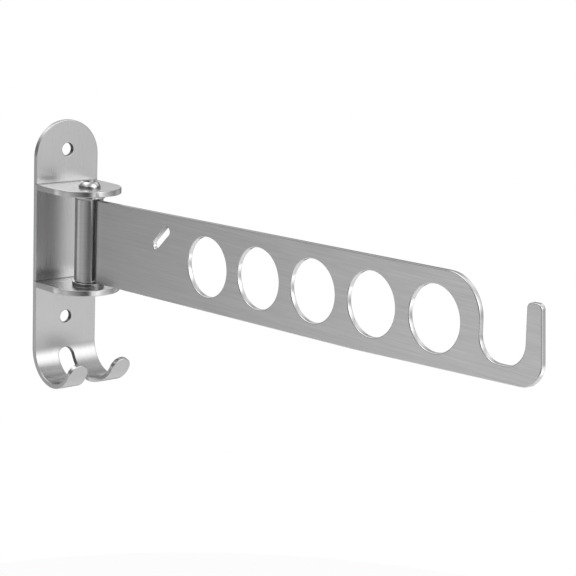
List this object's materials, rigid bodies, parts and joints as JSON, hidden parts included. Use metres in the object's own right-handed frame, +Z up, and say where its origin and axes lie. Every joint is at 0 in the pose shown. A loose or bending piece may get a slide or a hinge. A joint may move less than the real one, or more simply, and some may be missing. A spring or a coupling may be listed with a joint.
{
  "type": "folding wall hook",
  "caption": "Wall hook: a flat arm with round hanger holes and an open end hook swings on a pivot bolt between the ears of a screw-fixed plate whose foot bends into a notched double hook.",
  "frame": {"origin": "on the wall face of the back plate, on its centre line, at mid height of the arm's rolled eye", "axes": "+X along the wall to the right as seen from the room, +Y into the wall, +Z up; the arm stands straight out along -Y at rest"},
  "size_m": [0.037, 0.3183, 0.1336],
  "materials": {
    "plate_steel": "stainless sheet, brushed upright",
    "ear_steel": "stainless sheet, fine brushed",
    "arm_steel": "stainless bar, brushed along its length",
    "washer_steel": "turned stainless, satin",
    "sleeve_steel": "drawn stainless tube, bright",
    "bolt_steel": "polished stainless screw"
  },
  "bodies": {
    "bracket": {"back_plate": "plate_steel", "upper_ear": "ear_steel", "lower_ear": "ear_steel", "pivot_sleeve": "sleeve_steel", "upper_washer": "washer_steel", "lower_washer": "washer_steel", "pivot_bolt": "bolt_steel"},
    "arm": {"arm": "arm_steel"}
  },
  "joints": [
    {"name": "arm_swing", "type": "hinge", "parent": "bracket", "child": "arm", "pos_m": [0, -0.022, 0], "axis": [0, 0, 1], "range_deg": [-90, 90]}
  ]
}
